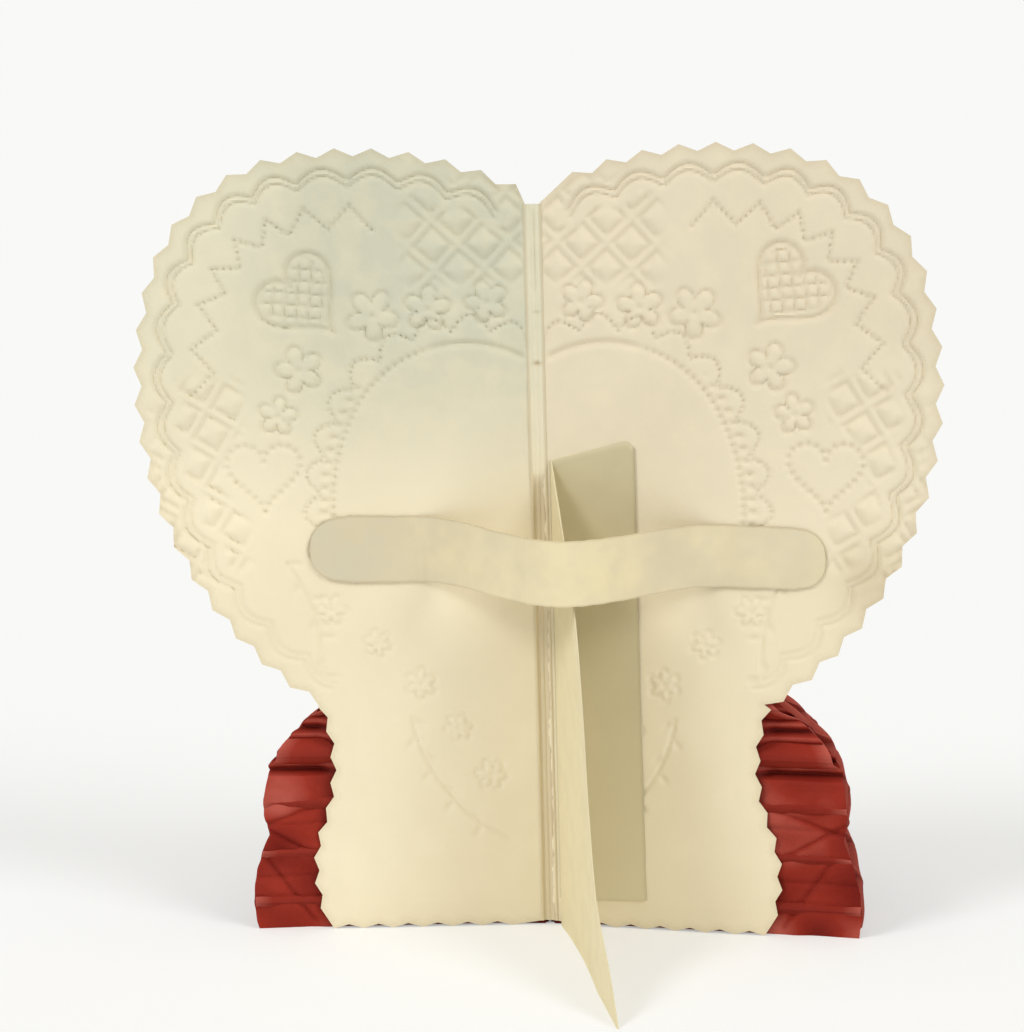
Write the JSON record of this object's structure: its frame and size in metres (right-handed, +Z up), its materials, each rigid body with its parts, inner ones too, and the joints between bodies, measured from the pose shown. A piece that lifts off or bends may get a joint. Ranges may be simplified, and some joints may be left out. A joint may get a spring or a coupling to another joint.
{
  "type": "greeting card",
  "caption": "Heart-shaped embossed lace-paper greeting card that stands on its honeycomb tissue base and a folded easel leg, with a strap across the back.",
  "frame": {"origin": "centre of the footprint at the surface the card stands on, which is the foot of the spine", "axes": "+Z up along the spine, +Y out of the front where the tissue base opens, +X to the right seen from the back"},
  "size_m": [0.2259, 0.1775, 0.2249],
  "materials": {
    "card_stock": "satin embossed",
    "strap_paper": "matt",
    "stand_card": "matt",
    "red_tissue": "matt"
  },
  "bodies": {
    "root": {"heart_card": "card_stock", "back_strap": "strap_paper", "easel_stand": "stand_card", "tissue_left": "red_tissue", "tissue_right": "red_tissue"}
  },
  "joints": []
}
